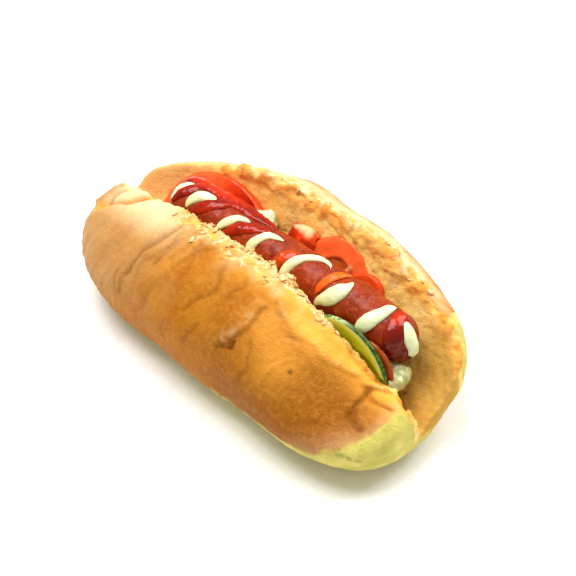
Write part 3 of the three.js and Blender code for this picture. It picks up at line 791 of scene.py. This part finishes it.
def sauce(name, strokes, flatness, uneven):
    """One piece from its strokes: flatness is what is left of their height, and uneven how much they wave in mm."""
    parts = []
    for stroke in strokes:
        rows = smooth_line(stroke, STEPS)
        path = on_casing(rows[:, 0], rows[:, 1])
        data = bpy.data.curves.new(name, "CURVE")
        data.dimensions = "3D"
        data.bevel_depth = MM
        data.bevel_resolution = 6
        data.use_fill_caps = True
        spline = data.splines.new("POLY")
        spline.points.add(len(path) - 1)
        # Full width for most of the way, and round at both ends
        ends = np.sqrt(np.clip(1 - np.abs(np.linspace(-1, 1, len(path))) ** 7, 0.02, 1))
        for point, spot, width, end in zip(spline.points, path, rows[:, 2], ends):
            point.co = (*(spot * MM), 1)
            point.radius = max(THINNEST, width * end)
        part = bpy.data.objects.new(name, data)
        bpy.context.scene.collection.objects.link(part)
        parts.append(part)
    bpy.ops.object.select_all(action="DESELECT")
    for part in parts:
        part.select_set(True)
    bpy.context.view_layer.objects.active = parts[0]
    bpy.ops.object.convert(target="MESH")
    bpy.ops.object.join()
    made = bpy.context.object
    made.name = name
    foot, out, far = above_casing(points_of(made))
    level = SAUSAGE_R + (far - SAUSAGE_R) * np.where(far > SAUSAGE_R, flatness, 0.5)
    move_points(made, foot + out * level[:, None])
    points = even_net(made, 0.4, 5)
    waves = uneven * lumps(points, 4, 50) + 0.5 * uneven * lumps(points, 1.8, 51)
    move_points(made, hang(points + normals_of(made) * waves[:, None]))
    return made


# %% Strokes: the way along the sausage, the angle round it in degrees, and half the width
MAYONNAISE = [
    [(-54.5, 156, 1.2), (-53.5, 138, 1.7), (-53, 118, 2.0), (-51, 101, 1.9), (-47.5, 84, 1.2)],
    [(-45, 150, 1.0), (-44, 126, 2.1), (-41.5, 104, 2.7), (-37, 95, 2.2), (-34, 101, 0.8)],
    [(-26.5, 156, 1.0), (-25, 138, 1.7), (-22.5, 119, 2.2), (-20, 101, 1.7), (-14.5, 93, 1.0)],
    [(3, 88, 0.8), (0, 90, 1.4), (-3.5, 97, 1.9), (-6, 117, 2.0), (-7.5, 138, 2.3), (-7.5, 158, 2.2),
     (-6.5, 176, 1.8), (-4, 190, 1.4)],
    [(28, 86, 0.5), (25.5, 73, 1.0), (22, 70, 1.6), (18.5, 82, 2.0), (15.5, 100, 2.0), (13.5, 120, 2.3),
     (12, 146, 2.2), (11.5, 168, 2.0), (12, 186, 1.4)],
    [(28.5, 190, 0.8), (31.5, 166, 2.0), (35.5, 144, 3.5), (38.5, 116, 3.2), (39.5, 96, 1.6), (39, 80, 0.8)],
    [(50.5, 186, 0.9), (52.5, 164, 2.6), (55, 138, 3.2), (57.5, 108, 2.5), (58, 84, 2.1), (59, 62, 0.9)],
    [(64.5, 84, 1.4), (67, 90, 2.6), (70, 94, 3.0), (73.5, 100, 3.0), (76.5, 110, 2.8), (76.5, 270, 2.6),
     (74.5, 282, 2.2), (72, 288, 1.4)],
]
KETCHUP = [
    [(-55, 160, 2.0), (-51, 124, 2.6), (-47, 98, 3.0), (-45, 70, 2.8), (-46, 45, 2.4)],
    [(-41, 158, 1.8), (-37.5, 126, 2.8), (-33, 100, 3.0), (-30, 76, 3.0), (-30, 48, 2.4)],
    [(-22.5, 156, 1.4), (-19, 132, 2.6), (-14.5, 112, 2.8), (-9.5, 98, 2.4), (-4.5, 84, 1.6)],
    [(-58, 70, 2.4), (-50, 56, 4.2), (-38, 50, 5.6), (-26, 50, 5.6), (-14, 54, 4.2), (-5, 60, 2.0)],
    [(4.5, 172, 1.2), (6, 152, 2.3), (7.5, 130, 2.7), (10.5, 108, 2.3), (14.5, 96, 1.0)],
    [(28.5, 158, 0.8), (29.5, 134, 1.7), (31, 108, 2.1), (33.5, 78, 1.8), (36.5, 60, 0.8)],
    [(69, 196, 2.4), (67.5, 158, 3.9), (66, 120, 4.4), (64, 84, 3.6), (63, 52, 1.6)],
    [(66, 218, 1.2), (70, 206, 2.2), (72.5, 190, 2.4), (72.5, 150, 2.0)],
    [(68, 236, 1.2), (72, 244, 1.8), (74, 262, 1.4)],
]
ketchup = sauce("ketchup_strokes", KETCHUP, 0.36, 0.22)
mayonnaise = sauce("mayonnaise_strokes", MAYONNAISE, 0.58, 0.14)

# %% [markdown]
# Ketchup is a clear red gel with fine tomato in it: where it is thin it is dark and shows the sausage, and where
# it is thick or lit through it turns orange. It is smooth and wet, so it has the sharpest highlights here.

# %% Ketchup material
across, behind, _ = points_of(ketchup).T
ketchup_look, tree, shader, place = new_material(
    "tomato_ketchup", Roughness=0.13, Specular_IOR_Level=0.22, Subsurface_Weight=0.1,
    Subsurface_Radius=(1.0, 0.25, 0.1), Subsurface_Scale=1.5 * MM)
paint(ketchup, orange=hill(across - 32, 7) + 0.35 * hill(across - 9, 6), dark=ease(58, 66, across),
      bright=ease(4, 12, behind) * ease(-18, -38, across) + 0.9 * hill(across - 64, 2.6) * hill(behind - 4.6, 4))
colour = coats(tree, place, "#7c1202", [
    dict(colour="#a82206", grain=5, span=(0.35, 0.65)),
    dict(colour="#5e1004", area="dark", most=0.8),
    dict(colour="#d8340a", area="bright"),
    dict(colour="#f06410", area="orange"),
])
tree.links.new(colour, shader.inputs["Base Color"])
finish_piece(ketchup, ketchup_look, "tomato")

# %% [markdown]
# Mayonnaise is oil in tiny drops, which scatter light: it is nearly white with a yellow green tinge, looks soft
# and has no hard shadows. Some subsurface scattering gives that.

# %% Mayonnaise material
mayonnaise_look, tree, shader, place = new_material(
    "egg_mayonnaise", Roughness=0.22, Specular_IOR_Level=0.4, Subsurface_Weight=0.3,
    Subsurface_Radius=(0.9, 1.0, 0.5), Subsurface_Scale=1.5 * MM)
colour = coats(tree, place, "#d8dfa6", [
    dict(colour="#e4eac0", grain=4, span=(0.35, 0.65)),
    # Darker olive on the pool: painted shade under the sausage's end
    dict(colour="#a9a862", grain=3, span=(0.3, 0.55), area="thin"),
])
tree.links.new(colour, shader.inputs["Base Color"])
finish_piece(mayonnaise, mayonnaise_look, "mayonnaise")

# %% [markdown]
# Mayonnaise has also run down at the near end, and one lump stuck behind the sausage. The pool is its solid with an
# even net, made uneven by noise, and painted darker all over as shade under the sausage's end. The lump starts as
# an icosphere, which has no poles to pinch.

# %% Mayonnaise pool, which narrows as it runs down
POOL_X, SOFT_POOL_X = 71.5, 69.8
pool = copy_of("mayonnaise_pool", "mayonnaise_pool_soft")
points = even_net(pool, 0.5, 8)
waves = lumps(points * (1, 1, 0.3), 2.8, 52) + 0.3 * lumps(points, 2.2, 53)
points += normals_of(pool) * waves[:, None]
run_down = ease(33, 24, points[:, 2])
points[:, 0] = SOFT_POOL_X + (points[:, 0] - POOL_X) * (0.85 - 0.35 * run_down) + 1.6 * run_down
move_points(pool, points)
# The whole pool is darkened: painted shade under the sausage's end
paint(pool, thin=np.full(len(points), 0.8))
finish_piece(pool, mayonnaise_look, "mayonnaise", "mayonnaise_pool")

# %% Mayonnaise lump
LUMP_AT, LUMP_SIZE = (-19.5, 17.1, 41), (5.8, 4.2, 5.6)
bpy.ops.object.select_all(action="DESELECT")
bpy.ops.mesh.primitive_ico_sphere_add(subdivisions=5, radius=MM, location=(0, 0, 0))
lump = bpy.context.object
lump.name = "mayonnaise_lump"
ball = points_of(lump) * LUMP_SIZE
ball *= (1 + 0.22 * lumps(ball, 5, 54) + 0.06 * lumps(ball, 2, 55))[:, None]
move_points(lump, ball + LUMP_AT)
finish_piece(lump, mayonnaise_look, "mayonnaise")

# %% [markdown]
# ## Slices of tomato
# A slice of tomato has a thin tough skin, a firm wall, and chambers of gel between pale ribs. Each slice keeps
# the form of its solid, which already fits between the sausage and the bread, and only the near one stands up
# a little more. Polar coordinates in the slice's own plane say what is skin, wall, gel or rib, and the chambers
# sink in a little.

# %% Polar coordinates in a slice
ROW_Y, ROW_Z, HINGE = 0.533, -1.2, 10


def slice_frame(points, at_x, foot, up, wide, tall, lean, side):
    """Place in a leaning slice: share of its radius, and angle round its middle."""
    angle = math.radians(lean)
    rise = np.array([0, side * math.sin(angle), math.cos(angle)])
    off = points - np.array([at_x, foot + ROW_Y, HINGE + ROW_Z])
    v = off @ rise - up
    return np.hypot(off[:, 0] / wide, v / tall), np.arctan2(v, off[:, 0])


# Where a slice's foot is, how far up its middle, how wide and tall it is, and how it leans, in mm and degrees
CUCUMBER = dict(at_x=49.5, foot=-12.6, up=14.9, wide=23.8, tall=23.8, lean=-5, side=-1)
SLICES = {
    "tomato_slice_front": dict(at_x=61, foot=-10, up=22.3, wide=11.6, tall=11.6, lean=-5, side=-1),
    "tomato_slice_far": dict(at_x=-43, foot=0.5, up=17, wide=31, tall=28, lean=29, side=1),
    "tomato_slice_mid": dict(at_x=21, foot=0.5, up=28.5, wide=18.5, tall=20, lean=29, side=1),
    "tomato_slice_near": dict(at_x=38, foot=-2.5, up=31, wide=9, tall=9, lean=29, side=1),
}

# %% [markdown]
# Ripe tomato is wet and lets light in, red to orange in the wall and darker in the gel. Its roughness is low,
# and its subsurface colour keeps the shadows warm.

# %% Tomato material
tomato, tree, shader, place = new_material(
    "ripe_tomato", Roughness=0.2, Specular_IOR_Level=0.25, Subsurface_Weight=0.15,
    Subsurface_Radius=(1.0, 0.3, 0.15), Subsurface_Scale=2 * MM)
colour = coats(tree, place, "#e03208", [
    dict(colour="#f4551c", grain=4, span=(0.35, 0.65)),
    # On the far slice, bright and dark are a painted highlight and painted shade
    dict(colour="#ff6f34", area="bright"),
    dict(colour="#a81a06", area="dark"),
    dict(colour="#b8501c", area="gel"),
    dict(colour="#f0b484", area="rib"),
    dict(colour="#e04a14", area="rim"),
    dict(colour="#8a3f10", area="brown", most=0.85),
    dict(colour="#e8c48c", area="cream"),
])
tree.links.new(colour, shader.inputs["Base Color"])


def dress_tomato(piece, node, radius, angle, gel_wide=0.0, **areas):
    """Sinks the gel between its ribs, paints the areas and finishes the piece."""
    points = points_of(piece)
    wavy = radius + 0.04 * lumps(points, 5, 30)
    rib = hill(np.sin(2.5 * angle + 0.4), 0.18) * ease(gel_wide + 0.05, gel_wide, wavy) * (gel_wide > 0)
    gel = ease(gel_wide, gel_wide - 0.08, wavy) * (1 - rib) * (gel_wide > 0)
    paint(piece, gel=gel, rib=0.75 * rib, rim=ease(0.965, 0.985, radius), **areas)
    depth = -0.6 * gel + 0.3 * gel * lumps(points, 2, 31) + 0.2 * lumps(points, 4, 32)
    move_points(piece, points + normals_of(piece) * depth[:, None])
    finish_piece(piece, tomato, "tomato", node)


# %% The four slices
CHAMBERS = {"tomato_slice_mid": 0.62}
STANDS_UP = (0, 1.5, 2.8)
for node, where in SLICES.items():
    piece = copy_of(node, node.replace("tomato_slice", "tomato_slice_cut"))
    points = even_net(piece, 0.45, 4)
    if node == "tomato_slice_near":
        points += np.outer(ease(30, 44, points[:, 2]), STANDS_UP)
        move_points(piece, points)
    radius, angle = slice_frame(points, **where)
    along = points[:, 0]
    # One rule gives all four their colours, by the place along the bun. On the far slice bright and dark are a
    # painted highlight towards its far end and painted shade towards the middle of the bun.
    dress_tomato(piece, node, radius, angle, CHAMBERS.get(node, 0.0),
                 bright=0.9 * ease(-34, -56, along) + 0.8 * ease(0, 4, along) * (along < 48),
                 dark=ease(-48, -24, along) * (along < -5), brown=1.0 * (along > 48))

# %% [markdown]
# A small chunk of tomato lies against the far side: red flesh whose cut rim has turned pale.

# %% Tomato chunk
chunk = copy_of("tomato_chunk", "tomato_chunk_cut")
points = even_net(chunk, 0.45, 4)
all_flesh = np.full(len(points), 0.6)
dress_tomato(chunk, "tomato_chunk", all_flesh, np.zeros(len(points)), dark=ease(1, -6, points[:, 0]),
             cream=ease(47.4, 49.4, points[:, 2] + lumps(points, 3, 33)), bright=0.3 * ease(2, 7, points[:, 0]))

# %% [markdown]
# ## Cucumber
# A cucumber slice shows its peel only as a thin dark green edge with pale streaks. Under it the flesh is pale,
# and towards the middle it turns into clear yellow green. The peel is waxy and the flesh wet, so both are glossy.

# %% Cucumber
cucumber = copy_of("cucumber_slice", "cucumber_slice_cut")
points = even_net(cucumber, 0.4, 4)
radius, angle = slice_frame(points, **CUCUMBER)
peel, far_side = ease(0.962, 0.978, radius), ease(1.75, 1.35, angle)
paint(cucumber, peel=peel, dark_peel=peel * far_side, pale_ring=ease(0.84, 0.93, radius))
cucumber_look, tree, shader, place = new_material("fresh_cucumber", Roughness=0.25, Specular_IOR_Level=0.35,
                                                  Subsurface_Weight=0.12, Subsurface_Scale=2 * MM)
colour = coats(tree, place, "#969c02", [
    dict(colour="#aeb414", grain=5, span=(0.35, 0.65)),
    dict(colour="#c2c64c", area="pale_ring"),
    dict(colour="#55762a", area="peel"),
    dict(colour="#b9cc90", grain=2.0, span=(0.40, 0.52), area="peel"),
    dict(colour="#22380a", area="dark_peel"),
    dict(colour="#4c6c18", grain=2.5, span=(0.44, 0.6), area="dark_peel"),
])
tree.links.new(colour, shader.inputs["Base Color"])
finish_piece(cucumber, cucumber_look, "cucumber", "cucumber_slice")

# %% [markdown]
# ## Floor and light
# A pale floor and large soft lights, as in a photograph taken in a light tent. The main light stands high on the
# left, towards the far end, which is the brightest. A second one behind lets the back crust glow.

# %% Floor
bpy.ops.object.select_all(action="DESELECT")
bpy.ops.mesh.primitive_plane_add(size=4, location=(0, 0, 0))
floor = bpy.context.object
floor.name = "floor"
paper, tree, shader, place = new_material("pale_matt_paper", Roughness=0.9)
colour = coats(tree, place, "#f4f4f2", [dict(colour="#fafaf8", grain=60, span=(0.4, 0.6))])
tree.links.new(colour, shader.inputs["Base Color"])
floor.data.materials.append(paper)


# %% Lights and world
def soft_light(name, at, size, power):
    """A square area light that points at the food: place and size in metres, power in watts."""
    bpy.ops.object.light_add(type="AREA", location=at)
    lamp = bpy.context.object
    lamp.name = name
    lamp.rotation_euler = (Vector(at) - AIM).to_track_quat("Z", "Y").to_euler()
    lamp.data.size = size
    lamp.data.energy = power


soft_light("main_light", (-0.3, -0.12, 1.1), 0.7, 14)
soft_light("back_light", (0.2, 0.65, 0.8), 0.6, 8)
world = bpy.data.worlds.new("studio")
bpy.context.scene.world = world
world.use_nodes = True
world.node_tree.nodes["Background"].inputs["Color"].default_value = linear("#ffffff")
world.node_tree.nodes["Background"].inputs["Strength"].default_value = 0.5
bpy.context.scene.view_settings.view_transform = "Standard"
